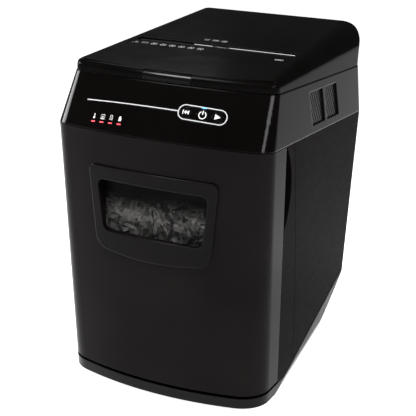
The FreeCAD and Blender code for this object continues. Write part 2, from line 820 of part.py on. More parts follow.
def make_cutters():
    """Two geared cutter shafts with their discs, and the combs that keep them clear."""
    first = -disc_pitch * (disc_count - 0.5) / 2 - disc_width / 2
    plans = [("front", front_axis, 0.0, second_plane - 1.5), ("rear", rear_axis, disc_pitch / 2, third_plane - 1)]
    comb_bars = []
    for name, place, shift, right_end in plans:
        model = cutter_disc(first + shift, place, 0.0)
        discs = []
        for index in range(disc_count):
            disc = model.copy()
            disc.rotate(V(0, place[0], place[1]), V(1, 0, 0), index * 60)
            disc.translate(V(index * disc_pitch, 0, 0))
            discs.append(disc)
        save("cutter_discs_" + name, discs)
        save("cutter_shaft_" + name, cutter_shaft(place, right_end))
        sign = -1 if name == "front" else 1
        reach = sorted((place[0] + sign * 22, place[0] + sign * 26))
        comb = box(-block_half + 0.2, block_half - 0.2, reach[0], reach[1], cutter_height - 11, cutter_height + 11)
        inner = sorted((place[0] + sign * 10, place[0] + sign * 24))
        for index in range(disc_count - 1):
            x = first + shift + disc_width + index * disc_pitch + 0.35
            finger = box(x, x + disc_pitch - disc_width - 0.7, inner[0], inner[1],
                         cutter_height - 5, cutter_height + 5)
            comb = comb.fuse(finger)
        comb_bars.append(comb)
    save("stripper_combs", comb_bars)


def make_gears():
    """The gear train from the motor to the cutters and the feed rollers."""
    front_feed, rear_feed = feed_axes()
    front_idler, rear_idler = idler_axes()
    rear_phase = 0.0
    front_phase = meshed_phase(cutter_teeth, rear_phase, rear_axis, cutter_teeth, front_axis)
    bore = journal_radius + running_gap
    gears = [("cutter_gear_rear", cutter_teeth, rear_axis, rear_phase),
             ("cutter_gear_front", cutter_teeth, front_axis, front_phase)]
    for name, teeth, place, phase in gears:
        save(name, gear(teeth, gear_module, place, first_plane, gear_width, phase, bore))
    save("bull_gear", gear(bull_teeth, gear_module, rear_axis, second_plane, gear_width, 0.0, bore))
    small_phase = meshed_phase(bull_teeth, 0.0, rear_axis, small_teeth, compound_axis)
    small = gear_face(small_teeth, gear_module, compound_axis, second_plane, small_phase)
    small = small.extrude(V(third_plane - second_plane, 0, 0))
    large = gear_face(large_teeth, fine_module, compound_axis, third_plane, 0.0)
    large = large.extrude(V(large_gear_width, 0, 0))
    lightening = []
    for hole in range(5):
        spot = turned(compound_axis, 23, hole * 72)
        lightening.append(rod(third_plane - 1, third_plane + large_gear_width + 1, spot, 6))
    axle_radius = 3.0
    bore_tool = rod(0, far, compound_axis, axle_radius + running_gap)
    large = large.cut(Part.makeCompound(lightening + [bore_tool]))
    save("compound_gear", small.cut(bore_tool).fuse(large))
    pinion_phase = meshed_phase(large_teeth, 0.0, compound_axis, pinion_teeth, motor_axis)
    pinion = gear_face(pinion_teeth, fine_module, motor_axis, third_plane, pinion_phase)
    pinion = pinion.extrude(V(large_gear_width, 0, 0))
    pinion = pinion.fuse(rod(block_half - motor_length / 2, third_plane, motor_axis, motor_shaft_radius))
    save("motor_pinion", pinion.removeSplitter())
    axle_end = third_plane + large_gear_width + 1.5
    cover_thickness = 2.0
    axles = [rod(block_half + plate_thickness, axle_end + cover_thickness, compound_axis, axle_radius)]
    trains = [("front", front_axis, front_phase, front_idler, front_feed),
              ("rear", rear_axis, rear_phase, rear_idler, rear_feed)]
    for name, cutter, phase, idler, feed in trains:
        idler_phase = meshed_phase(cutter_teeth, phase, cutter, idler_teeth, idler)
        save("idler_gear_" + name, gear(idler_teeth, gear_module, idler, first_plane, gear_width,
                                        idler_phase, axle_radius + running_gap))
        axles.append(rod(block_half + plate_thickness, first_plane + gear_width + 1, idler, axle_radius))
        feed_phase = meshed_phase(idler_teeth, idler_phase, idler, roller_teeth, feed)
        wheel = gear_face(roller_teeth, gear_module, feed, first_plane, feed_phase)
        wheel = wheel.extrude(V(gear_width, 0, 0))
        shaft = rod(-block_half - plate_thickness - 2, first_plane + gear_width, feed, roller_shaft_radius)
        save("feed_shaft_" + name, wheel.fuse(shaft).removeSplitter())
        rollers = []
        for sign in (1, -1):
            middle = sign * roller_place
            rollers.append(tube(middle - roller_width / 2, middle + roller_width / 2, feed,
                                roller_radius, roller_shaft_radius))
        save("feed_rollers_" + name, rollers)
    save("gear_axles", axles)
    plate = box(axle_end, axle_end + cover_thickness, front_axis[0] - 42, motor_axis[0] + 14,
                head_floor_height + wall + seat_gap, deck_bottom - 12)
    plate = rounded(plate, V(1, 0, 0), 8)
    hole = rod(0, far, compound_axis, axle_radius)
    save("gear_cover", plate.cut(hole))


def make_block():
    """Steel side plates, tie rods and bushes of the cutter block, and the motor."""
    low = head_floor_height + wall
    front_feed, rear_feed = feed_axes()
    front_edge = front_feed[0] - 14
    plate_right = box(block_half, block_half + plate_thickness, front_edge, motor_axis[0] + motor_radius + 3,
                      low, cutter_height + 38)
    plate_left = box(-block_half - plate_thickness, -block_half, front_edge, rear_feed[0] + 14,
                     low, cutter_height + 38)
    shaft_hole = roller_shaft_radius + running_gap
    holes = []
    bushes = []
    for place in (front_axis, rear_axis):
        holes.append(rod(-far, far, place, bush_radius))
        for x in (-block_half - plate_thickness, block_half):
            bushes.append(tube(x, x + plate_thickness, place, bush_radius, journal_radius + running_gap))
    for place in (front_feed, rear_feed):
        holes.append(rod(-far, far, place, shaft_hole))
    rod_places = [(front_edge + 8, low + 14), (rear_feed[0] + 8, low + 14)]
    rods = []
    for place in rod_places:
        holes.append(rod(-far, far, place, 3.0))
        bar = rod(-block_half - plate_thickness - 5, block_half + plate_thickness + 5, place, 3.0)
        for x in (-block_half - plate_thickness - 3.5, block_half + plate_thickness):
            bar = bar.fuse(hexagon(x, x + 3.5, place, 9))
        rods.append(bar.removeSplitter())
    drilling = Part.makeCompound(holes)
    shaft_way = rod(0, far, motor_axis, motor_shaft_radius + 1)
    save("cutter_plate_right", plate_right.cut(drilling).cut(shaft_way))
    save("cutter_plate_left", plate_left.cut(drilling))
    save("tie_rods", rods)
    save("cutter_bushes", bushes)
    can = rod(block_half - motor_length, block_half - 8, motor_axis, motor_radius)
    nose = rod(block_half - 8, block_half, motor_axis, motor_radius - 7)
    tail = rod(block_half - motor_length - 10, block_half - motor_length, motor_axis, motor_radius - 9)
    foot = box(block_half - motor_length + 12, block_half - 20, motor_axis[0] - 14, motor_axis[0] + 14,
               low, motor_axis[1] - 20)
    bearing = rod(block_half - motor_length / 2 - seat_gap, far, motor_axis, motor_shaft_radius + running_gap)
    motor = can.fuse(nose).fuse(tail).fuse(foot).cut(bearing)
    save("motor_body", motor.removeSplitter())
    board = box(-110, -30, 70, 150, low + 6, low + 7.6)
    parts = [board]
    for x, y, size, height in ((-100, 80, 18, 26), (-76, 84, 12, 20), (-58, 110, 20, 14), (-100, 118, 26, 18)):
        parts.append(box(x, x + size, y, y + size, low + 7.6, low + 7.6 + height))
    for x, y in ((-105, 75), (-35, 75), (-105, 145), (-35, 145)):
        parts.append(Part.makeCylinder(2.5, 6, V(x, y, low)))
    whole = parts[0]
    for piece in parts[1:]:
        whole = whole.fuse(piece)
    save("power_board", whole.removeSplitter())


# ---- Bin ------------------------------------------------------------------------------------
def window_outline(low, high, low_half, high_half, corner, top_corner, grow, belly=0.0):
    """Prism along Y with the tapered, round-cornered outline of the bin's window."""
    points = [(-low_half - grow, low - grow), (low_half + grow, low - grow),
              (high_half + grow, high + grow), (-high_half - grow, high + grow)]
    shape = front_prism(points, -far, -60)
    shape = rounded(shape, V(0, 1, 0), corner + grow, lambda point: point.z < (low + high) / 2)
    shape = rounded(shape, V(0, 1, 0), top_corner + grow, lambda point: point.z > (low + high) / 2)
    if belly:
        reach = low_half - corner
        radius = (reach ** 2 + belly ** 2) / (2 * belly)
        swell = Part.makeCylinder(radius, far - 60, V(0, -far, low - grow - belly + radius), V(0, 1, 0))
        swell = swell.common(box(-reach, reach, -far, -60, low - grow - belly, low - grow + 8))
        shape = shape.fuse(swell).removeSplitter()
    return shape


def window_opening(grow):
    """The see-through opening of the window."""
    return window_outline(window_low, window_high, window_low_half, window_high_half,
                          window_corner, window_corner, grow)


def tub_box(grow, low, high):
    """Tapered block of the tub's shape, shrunk by grow on each side."""
    def wire(height):
        share = (height - bin_bottom) / (tub_top - bin_bottom)
        half = tub_bottom_half + (tub_top_half - tub_bottom_half) * share - grow
        y0 = front_at(height) + tub_front_gap + grow
        y1 = tub_bottom_rear + (tub_top_rear - tub_bottom_rear) * share - grow
        corners = [V(-half, y0, height), V(half, y0, height), V(half, y1, height), V(-half, y1, height)]
        return Part.makePolygon(corners + corners[:1])
    return Part.makeLoft([wire(low), wire(high)], True, True)


def make_bin():
    """The pull-out bin: bowed front, window, handle bezel, tub and the shreds in it."""
    ahead = box(-far, far, -far, far, 0, far).cut(behind_seam(-seam_gap))
    shell = skin(bin_bottom, bin_top).cut(skin(bin_bottom, bin_top, wall))
    bottom = skin(bin_bottom, bin_bottom + thin_wall, wall / 2)
    flange = skin_shell(bin_top - wall, bin_top, wall / 2, 14)
    flange = flange.cut(box(-far, far, head_floor_front - 8, far, 0, far))
    panel = shell.fuse(bottom).fuse(flange).common(ahead)
    tab = box(-64, -56, front_at(bin_top) + 10, head_floor_front - 12.4, bin_top - wall, bin_top)
    panel = panel.fuse(tab)
    panel = panel.cut(window_opening(2.2))
    posts = []
    for height in (200.0, 60.0):
        for x in (-90.0, 90.0):
            start = V(x, front_at(height) + sag(x, height) + wall / 2, height)
            length = front_at(height) + tub_front_gap - start.y - 2
            posts.append(Part.makeCylinder(5, length, start, V(0, 1, 0)))
    for post in posts:
        panel = panel.fuse(post.cut(tub_box(0, bin_bottom, tub_top)))
    save("bin_front", panel.removeSplitter())

    outer = tub_box(0, tub_low, tub_top)
    inner = tub_box(tub_wall, tub_low + tub_wall, tub_top)
    tub = outer.cut(inner)
    lip = tub_box(-3, tub_top - 2, tub_top).cut(tub_box(tub_wall, tub_top - 2, tub_top))
    lip = lip.cut(box(-far, far, -far, front_at(tub_top) + tub_front_gap + 1, 0, far))
    see_through = front_prism([(-88, 236), (88, 236), (88, 326), (-88, 326)], -far, -100)
    save("bin_tub", tub.fuse(lip).cut(see_through).removeSplitter())

    ring = skin_shell(bin_bottom, bin_top, -bezel_proud, -0.1)
    ring = ring.common(box(-far, far, -far, -100, 0, far))
    bezel = ring.common(window_outline(bezel_low, bezel_high, bezel_low_half, bezel_high_half,
                                       bezel_corner, bezel_top_corner, 0, bezel_belly))
    sleeve = window_opening(2.0).common(box(-far, far, -far, -100, 0, far))
    sleeve = sleeve.common(skin(bin_bottom, bin_top, -bezel_proud / 2)).common(lens_block(-far))
    save("window_bezel", bezel.fuse(sleeve).cut(window_opening(0)).removeSplitter())
    lens_slab = lens_block(0.0)
    lens = lens_slab.common(lens_block(2.0, True)).common(window_opening(2.0))
    save("window_lens", lens)

    heap_low = tub_low + tub_wall + 2 * seat_gap
    outer = tub_box(tub_wall + 1.0, heap_low, heap_top)
    slope = side_prism([(-far, heap_top), (-140, heap_top), (-60, heap_top - 10), (60, heap_top - 34),
                        (200, heap_top - 66), (far, heap_top - 66), (far, 0), (-far, 0)], -far, far)
    inner = tub_box(tub_wall + 1.0 + heap_shell, heap_low, heap_top - heap_shell)
    heap = outer.common(slope).cut(inner.common(slope.translated(V(0, 0, -heap_shell))))
    save("paper_shreds", heap)


def lens_block(offset, rearward=False):
    """Everything ahead of (or behind) the slanted plane of the lens, moved back by offset."""
    y_top = front_at(window_high) + recess_top_depth
    y_low = front_at(window_low) + recess_low_depth
    slope = (y_top - y_low) / (window_high - window_low)

    def y_at(z):
        return y_low + slope * (z - window_low)

    z0, z1 = window_low - 30, window_high + 30
    if rearward:
        points = [(y_at(z0) + offset, z0), (-far, z0), (-far, z1), (y_at(z1) + offset, z1)]
    elif offset <= -far:
        points = [(y_at(z0), z0), (-far, z0), (-far, z1), (y_at(z1), z1)]
    else:
        points = [(y_at(z0) + offset, z0), (0, z0), (0, z1), (y_at(z1) + offset, z1)]
    return side_prism(points, -far, far)


# ---- Lid ------------------------------------------------------------------------------------
def lid_top_at(y):
    """Height of the lid's sloped top at y."""
    start = front_at(band_top)
    share = (y - start) / (rear - start)
    return band_top + lid_front_rise + (lid_rear_rise - lid_front_rise) * share


def lid_section(y, inset, low):
    """Cross-section of the lid at y: straight sides and growing round shoulders."""
    start = front_at(band_top)
    share = (y - start) / (rear - start)
    shoulder = lid_front_shoulder + (lid_rear_shoulder - lid_front_shoulder) * share
    shoulder = max(shoulder - inset, 1.0)
    half = half_width - band_narrowing - lid_inset - inset
    top = lid_top_at(y) - inset
    diagonal = shoulder * (1 - math.sqrt(0.5))
    points = [V(-half, y, low), V(half, y, low), V(half, y, top - shoulder),
              V(half - shoulder, y, top), V(-half + shoulder, y, top), V(-half, y, top - shoulder)]
    right = V(half - diagonal, y, top - diagonal)
    left = V(-half + diagonal, y, top - diagonal)
    edges = [
        Part.LineSegment(points[0], points[1]).toShape(),
        Part.LineSegment(points[1], points[2]).toShape(),
        Part.Arc(points[2], right, points[3]).toShape(),
        Part.LineSegment(points[3], points[4]).toShape(),
        Part.Arc(points[4], left, points[5]).toShape(),
        Part.LineSegment(points[5], points[0]).toShape(),
    ]
    return Part.Wire(edges)


def lid_stack(inset, low, start, radius, sign):
    """Plan of the lid moved along Y with height, which rounds its front or rear top edge."""
    def plan(height, shift):
        wire = outline(band_top, lid_inset + inset)
        wire.translate(V(0, sign * shift, height - band_top))
        return wire

    stack = Part.makeLoft([plan(low, 0), plan(start - radius, 0)], True, True)
    for step in range(rounding_steps):
        wires = []
        for angle in (step, step + 1):
            turn = angle * math.pi / 2 / rounding_steps
            wires.append(plan(start - radius + radius * math.sin(turn), radius * (1 - math.cos(turn))))
        stack = stack.fuse(Part.makeLoft(wires, True, True))
    return stack.fuse(Part.makeLoft([plan(start, radius), plan(start + far / 5, radius)], True, True))


def lid_block(inset, low):
    """Solid wedge of the lid, inset from its outer surface."""
    start = front_at(band_top) - 20
    wedge = Part.makeLoft([lid_section(start, inset, low), lid_section(rear + 10, inset, low)], True, True)
    front_top = lid_top_at(front_at(band_top)) - inset + 1.0
    front_stack = lid_stack(inset, low, front_top, lip_rounding - inset, 1)
    rear_stack = lid_stack(inset, low, lid_top_at(rear) - inset, rear_rounding - inset, -1)
    return wedge.common(front_stack).common(rear_stack)


def make_lid():
    """The lid with its slot, hinge knuckles, release button and the two sprung feed flaps."""
    low = band_top + seam_gap
    outer = lid_block(0.0, low)
    inner = lid_block(thin_wall, low - 1)
    shell = outer.cut(inner)
    clear_rear = box(-far, far, hinge_back, far, 0, hinge_height + 0.5)
    shell = shell.cut(clear_rear)
    slot_half = slot_recess_length / 2
    recess_half = slot_recess_width / 2
    recess = box(-slot_half, slot_half, cutter_middle - recess_half, cutter_middle + recess_half, 0, far)
    shell = shell.cut(rounded(recess, V(0, 0, 1), 2.5))
    notch_back = front_at(band_top) + release_depth
    notch_low = low + 2.0
    shell = shell.cut(box(-release_half, release_half, -far, notch_back, notch_low, far))
    lugs = []
    for y in (flap_hinge_front, flap_hinge_rear):
        for sign in (1, -1):
            x = sign * (flap_half + 3.5)
            top = lid_top_at(y) - thin_wall / 2
            lug = box(x - 1.5, x + 1.5, y - 4, y + 4, flap_hinge_height, top - 1)
            lug = lug.fuse(rod(x - 1.5, x + 1.5, (y, flap_hinge_height), 4))
            lugs.append(lug.cut(rod(-far, far, (y, flap_hinge_height), flap_pin_radius)))
    knuckles = []
    for sign in (1, -1):
        x = sign * hinge_place
        x0, x1 = x - knuckle_length / 2, x + knuckle_length / 2
        barrel = rod(x0, x1, (hinge_back, hinge_height), knuckle_radius)
        arm = box(x0, x1, hinge_back - 2, hinge_back + 4.5, hinge_height, hinge_height + 22)
        hole = rod(-far, far, (hinge_back, hinge_height), hinge_pin_radius + running_gap)
        knuckles.append(barrel.fuse(arm).common(outer.fuse(barrel)).cut(hole))
    for lug in lugs:
        shell = shell.fuse(lug)
    save("lid_shell", shell.removeSplitter())
    knuckles = [piece.cut(shell) for piece in knuckles]
    save("lid_knuckles", knuckles)

    sink = outer.translated(V(0, 0, -slot_recess_depth))
    collar = box(-slot_half + 0.2, slot_half - 0.2, cutter_middle - recess_half + 0.2,
                 cutter_middle + recess_half - 0.2, lid_top_at(cutter_middle) - 20, far)
    collar = rounded(collar, V(0, 0, 1), 2.3).common(sink)
    throat = box(-slot_length / 2, slot_length / 2, cutter_middle - slot_width / 2,
                 cutter_middle + slot_width / 2, 0, far)
    save("slot_insert", collar.cut(throat))

    gap = slide_gap
    cap = outer.translated(V(0, 0, -release_sink)).common(box(-release_half + gap, release_half - gap, -far,
                           notch_back - release_travel - gap, notch_low + gap, far))
    tongue_back = notch_back + 6
    tongue_top = lid_top_at(notch_back) - thin_wall - 0.9
    tongue = box(-release_half + 3, release_half - 3, notch_back - release_travel - 3, tongue_back,
                 tongue_top - 2.5, tongue_top)
    hook_back = hook_front + hook_thickness
    hook_low = deck_bottom - hook_drop
    stem = box(-hook_half, hook_half, hook_front, hook_back, hook_low, notch_low + 3)
    nose = box(-hook_half, hook_half, hook_front - hook_reach, hook_back, hook_low, deck_bottom - 0.6)
    bridge = box(-hook_half, hook_half, notch_back - release_travel - 3, hook_back, notch_low + gap,
                 tongue_top - 1)
    save("release_button", cap.fuse(tongue).fuse(bridge).fuse(stem).fuse(nose).removeSplitter())

    pins = []
    for name, y, sign in (("front", flap_hinge_front, 1), ("rear", flap_hinge_rear, -1)):
        place = (y, flap_hinge_height)
        pins.append(rod(-flap_half - 5, flap_half + 5, place, flap_pin_radius))
        tip = cutter_middle - sign * flap_tip_gap
        rise = flap_thickness
        points = [(y, flap_hinge_height - 1.2), (y, flap_hinge_height - 1.2 + rise),
                  (tip, flap_tip_height + rise), (tip, flap_tip_height)]
        plate = side_prism(points, -flap_half, flap_half)
        barrel = rod(-flap_half, flap_half, place, 3.4)
        curl = rod(-flap_half, flap_half, (tip, flap_tip_height + rise), rise)
        flap = plate.fuse(barrel).fuse(curl).cut(rod(-far, far, place, flap_pin_radius + running_gap))
        save("feed_flap_" + name, flap.removeSplitter())
    save("flap_pins", pins)


def make_hinges():
    """Brackets and pins that carry the lid on the deck."""
    brackets = []
    pins = []
    axis = (hinge_back, hinge_height)
    for sign in (1, -1):
        x = sign * hinge_place
        inner = knuckle_length / 2 + 0.3
        ears = []
        for side in (1, -1):
            x0 = x + side * inner if side > 0 else x - inner - lug_thickness
            ear = rod(x0, x0 + lug_thickness, axis, ear_radius)
            leg = box(x0, x0 + lug_thickness, hinge_back - 4.4, hinge_back + 2, deck_top, hinge_height)
            ears.append(ear.fuse(leg))
        foot = box(x - inner - lug_thickness, x + inner + lug_thickness, hinge_back - 14, hinge_back + 2,
                   deck_top, deck_top + 2)
        bracket = foot.fuse(ears[0]).fuse(ears[1])
        brackets.append(bracket.cut(rod(-far, far, axis, hinge_pin_radius)).removeSplitter())
        reach = inner + lug_thickness + 1
        pins.append(rod(x - reach, x + reach, axis, hinge_pin_radius))
    save("hinge_brackets", brackets)
    save("hinge_pins", pins)


# ---- Rear fittings --------------------------------------------------------------------------
def make_rear_fittings():
    """Cable gland and the main rocker switch in the rear cover."""
    spot = V(gland_place, rear - wall - 5, gland_height)
    gland = Part.makeCylinder(7.8, wall + 5, spot, V(0, 1, 0))
    flange = Part.makeCylinder(10.5, 2, V(gland_place, rear - wall - 2, gland_height), V(0, 1, 0))
    bore = Part.makeCylinder(4.2, far, spot, V(0, 1, 0))
    save("cord_gland", gland.fuse(flange).cut(bore).removeSplitter())
    half_w = rocker_width / 2 - 0.2
    half_h = rocker_height / 2 - 0.2
    body = box(rocker_place - half_w, rocker_place + half_w, rear - 20, rear - 0.2,
               gland_height - half_h, gland_height + half_h)
    inner_w = half_w - 2.5
    inner_h = half_h - 2.5
    body = body.cut(box(rocker_place - inner_w, rocker_place + inner_w, rear - 9, far,
                        gland_height - inner_h, gland_height + inner_h))
    save("rocker_housing", body)
    axis_y = rear - 5
    key_w = inner_w - 0.4
    key_h = inner_h - 1.4
    points = [(axis_y - 1.5, gland_height - key_h), (rear - 2.6, gland_height - key_h),
              (rear - 3.6, gland_height), (rear - 0.3, gland_height + key_h),
              (axis_y + 1.0, gland_height + key_h), (axis_y - 3.2, gland_height)]
    key = side_prism(points, rocker_place - key_w, rocker_place + key_w)
    save("power_rocker", key)


make_base()
make_shells()
make_band()
make_head_floor()
make_paper_tray()
make_cutters()
make_gears()
make_block()
make_bin()
make_lid()
make_hinges()
make_rear_fittings()
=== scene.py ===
import json
import math
import random

import bmesh
import bpy
from mathutils import Matrix, Vector
from mathutils.bvhtree import BVHTree


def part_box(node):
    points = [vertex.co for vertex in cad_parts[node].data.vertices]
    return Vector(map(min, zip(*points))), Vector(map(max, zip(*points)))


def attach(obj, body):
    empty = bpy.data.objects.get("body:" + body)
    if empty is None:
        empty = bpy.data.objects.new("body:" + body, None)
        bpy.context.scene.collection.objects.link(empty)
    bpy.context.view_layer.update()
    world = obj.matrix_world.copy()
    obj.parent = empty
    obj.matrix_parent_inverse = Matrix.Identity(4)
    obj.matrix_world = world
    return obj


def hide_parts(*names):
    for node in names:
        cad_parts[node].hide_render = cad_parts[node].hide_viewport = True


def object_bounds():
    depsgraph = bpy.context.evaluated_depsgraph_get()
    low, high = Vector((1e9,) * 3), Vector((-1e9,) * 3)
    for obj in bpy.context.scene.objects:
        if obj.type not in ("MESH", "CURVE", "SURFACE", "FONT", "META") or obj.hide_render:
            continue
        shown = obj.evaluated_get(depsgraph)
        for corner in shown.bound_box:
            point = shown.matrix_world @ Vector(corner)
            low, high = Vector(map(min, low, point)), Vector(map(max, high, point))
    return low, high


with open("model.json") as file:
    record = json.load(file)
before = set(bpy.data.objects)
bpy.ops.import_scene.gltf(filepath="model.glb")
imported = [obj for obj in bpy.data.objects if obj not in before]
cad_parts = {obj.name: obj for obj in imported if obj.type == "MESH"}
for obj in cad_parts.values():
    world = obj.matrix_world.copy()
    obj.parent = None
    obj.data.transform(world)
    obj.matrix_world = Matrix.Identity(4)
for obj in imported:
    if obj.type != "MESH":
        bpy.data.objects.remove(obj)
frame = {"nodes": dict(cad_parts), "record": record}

# The looks of an auto-feed paper shredder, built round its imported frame.  Metres throughout.
cad_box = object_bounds()
MM = 0.001
RIGHT = Vector((1, 0, 0))
BACK = Vector((0, 1, 0))
UP = Vector((0, 0, 1))
NOISE = "ShaderNodeTexNoise"
scene = bpy.context.scene
nodes = frame["nodes"]
slot_of = {part["node"]: part["material_slot"] for part in frame["record"]["subparts"]}

# Printed marks
PANEL_LEAN = math.radians(27.2)         # the control panel, back from upright
LID_SLOPE = math.atan2(53, 381)         # the lid's rise over its run
PRINT_RISE = 0.00012                    # a mark's height above its surface
AIM_START = 0.03                        # how far in front of a surface the search for it starts
AIM_REACH = 0.08                        # how far that search goes
LIGHT_WIDTH = 6.6 * MM                  # one status light
LIGHT_SYMBOL_RISE = 6.2 * MM            # a light's symbol above the light

# Shredded paper
STRIP_LENGTHS = (20, 40)                # millimetres
STRIP_WIDTHS = (4.0, 6.0)               # millimetres
STRIP_STEPS = 5                         # faces along one strip
TOP_STRIPS, FRONT_STRIPS = 2200, 520
HEAP_SIDE_ROOM, HEAP_END_ROOM = 0.012, 0.014
WINDOW_HALF, WINDOW_LOW = 0.098, 0.225  # the part of the heap that the window can show
HEAP_CREST_ROOM = 0.012                 # front strips stay this far under the heap's top
AIM_ROOM = 0.02                         # where the search for the heap's surface starts

# The window's smoke tint, thickened upward into painted shade for the dark inside of the bin above the heap:
# heights between which it thickens, and how opaque it is below and above them
SMOKE_AND_PAINTED_SHADE = (("From Min", 0.268), ("From Max", 0.303), ("To Min", 0.26), ("To Max", 0.95))

# Camera
CAMERA_PLACE = (0.6276, -1.3820, 0.6846)
CAMERA_TURN, CAMERA_TILT, CAMERA_ROLL = (math.radians(angle) for angle in (24.65, 16.31, 3.11))
LENS, SENSOR = 89.4, 36                 # millimetres


# ---- Materials ------------------------------------------------------------------------------
def new_material(name):
    """A node material: the material, its node tree and its shader."""
    material = bpy.data.materials.new(name)
    material.use_nodes = True
    tree = material.node_tree
    return material, tree, tree.nodes["Principled BSDF"]


def texture(tree, kind, scale, detail=3.0, stretch=(1, 1, 1)):
    """A procedural texture in object space, with its mapping."""
    coordinates = tree.nodes.new("ShaderNodeTexCoord")
    mapping = tree.nodes.new("ShaderNodeMapping")
    mapping.inputs["Scale"].default_value = stretch
    tree.links.new(coordinates.outputs["Object"], mapping.inputs["Vector"])
    node = tree.nodes.new(kind)
    node.inputs["Scale"].default_value = scale
    if "Detail" in node.inputs:
        node.inputs["Detail"].default_value = detail
    tree.links.new(mapping.outputs["Vector"], node.inputs["Vector"])
    return node


def spread(tree, source, low, high):
    """Map the middle half of a 0 to 1 value onto a range."""
    node = tree.nodes.new("ShaderNodeMapRange")
    node.inputs["From Min"].default_value = 0.25
    node.inputs["From Max"].default_value = 0.75
    node.inputs["To Min"].default_value = low
    node.inputs["To Max"].default_value = high
    tree.links.new(source, node.inputs["Value"])
    return node.outputs["Result"]


def two_colours(tree, source, dark, light, start=0.3, stop=0.7):
    """Blend two colours by a 0 to 1 value, between a start and a stop."""
    ramp = tree.nodes.new("ShaderNodeValToRGB")
    ramp.color_ramp.elements[0].position = start
    ramp.color_ramp.elements[1].position = stop
    ramp.color_ramp.elements[0].color = (*dark, 1)
    ramp.color_ramp.elements[1].color = (*light, 1)
    tree.links.new(source, ramp.inputs["Fac"])
    return ramp.outputs["Color"]


def bump(tree, shader, source, distance, strength, edge=0.3):
    """Raise the surface by a texture and round its edges by a radius in millimetres."""
    node = tree.nodes.new("ShaderNodeBump")
    node.inputs["Distance"].default_value = distance
    node.inputs["Strength"].default_value = strength
    tree.links.new(source, node.inputs["Height"])
    soft_edge = tree.nodes.new("ShaderNodeBevel")
    soft_edge.samples = 4
    soft_edge.inputs["Radius"].default_value = edge * MM
    tree.links.new(soft_edge.outputs["Normal"], node.inputs["Normal"])
    tree.links.new(node.outputs["Normal"], shader.inputs["Normal"])


def plastic(name, colour, rough, gloss, grain, grain_scale, drift, edge):
    """Moulded plastic: faint colour drift, uneven polish, handling haze and a moulded grain."""
    material, tree, shader = new_material(name)
    cloud = texture(tree, NOISE, 9, 4)
    smear = texture(tree, NOISE, 38, 5, (1, 1, 2.6))
    dark = tuple(c * (1 - drift) for c in colour)
    light = tuple(c * (1 + drift) for c in colour)
    tree.links.new(two_colours(tree, cloud.outputs["Fac"], dark, light), shader.inputs["Base Color"])
    low, high = rough * 0.85, rough * 1.2
    tree.links.new(spread(tree, smear.outputs["Fac"], low, high), shader.inputs["Roughness"])
    shader.inputs["Specular IOR Level"].default_value = gloss
    fine = texture(tree, NOISE, grain_scale, 2)
    bump(tree, shader, fine.outputs["Fac"], 0.0002, grain, edge)
    return material


def metal(name, colour, rough, stretch=(1, 1, 1), scale=420, wear=0.12):
    """Machined or plated steel: brushed lines, uneven polish and dark oil marks."""
    material, tree, shader = new_material(name)
    lines = texture(tree, NOISE, scale, 4, stretch)
    stains = texture(tree, NOISE, 60, 5)
    dark = tuple(c * (1 - 3 * wear) for c in colour)
    tree.links.new(two_colours(tree, stains.outputs["Fac"], dark, colour), shader.inputs["Base Color"])
    tree.links.new(spread(tree, lines.outputs["Fac"], rough * 0.7, rough * 1.4), shader.inputs["Roughness"])
    shader.inputs["Metallic"].default_value = 1.0
    bump(tree, shader, lines.outputs["Fac"], 0.0001, 0.25)
    return material


def light_window(name, colour, strength):
    """A small lit lens: clear coloured plastic with a brighter core."""
    material, tree, shader = new_material(name)
    cells = texture(tree, NOISE, 700, 2)
    dark = tuple(c * 0.7 for c in colour)
    tinted = two_colours(tree, cells.outputs["Fac"], dark, colour)
    tree.links.new(tinted, shader.inputs["Base Color"])
    tree.links.new(tinted, shader.inputs["Emission Color"])
    shader.inputs["Emission Strength"].default_value = strength
    shader.inputs["Roughness"].default_value = 0.3
    return material


def smoke(name):
    """Smoked clear plastic of the bin's window: flow marks, dust, and a smoke tint that thickens upward into
    painted shade for the dark inside of the bin above the heap.
    """
    material, tree, shader = new_material(name)
    flow = texture(tree, NOISE, 22, 3, (1, 1, 3))
    dust = texture(tree, NOISE, 260, 6)
    tree.links.new(two_colours(tree, flow.outputs["Fac"], (0.003, 0.0028, 0.0028), (0.006, 0.0057, 0.0055)),
                   shader.inputs["Base Color"])
    tree.links.new(spread(tree, dust.outputs["Fac"], 0.04, 0.12), shader.inputs["Roughness"])
    place = tree.nodes.new("ShaderNodeTexCoord")
    split = tree.nodes.new("ShaderNodeSeparateXYZ")
    tree.links.new(place.outputs["Object"], split.inputs["Vector"])
    # Painted shade: with height the window turns near opaque black, standing in for the shade inside the bin
    # above the heap; the low end is the smoke's own tint.
    smoke_and_painted_shade = tree.nodes.new("ShaderNodeMapRange")
    for socket, value in SMOKE_AND_PAINTED_SHADE:
        smoke_and_painted_shade.inputs[socket].default_value = value
    tree.links.new(split.outputs["Z"], smoke_and_painted_shade.inputs["Value"])
    tree.links.new(smoke_and_painted_shade.outputs["Result"], shader.inputs["Alpha"])
    shader.inputs["Specular IOR Level"].default_value = 0.02
    return material


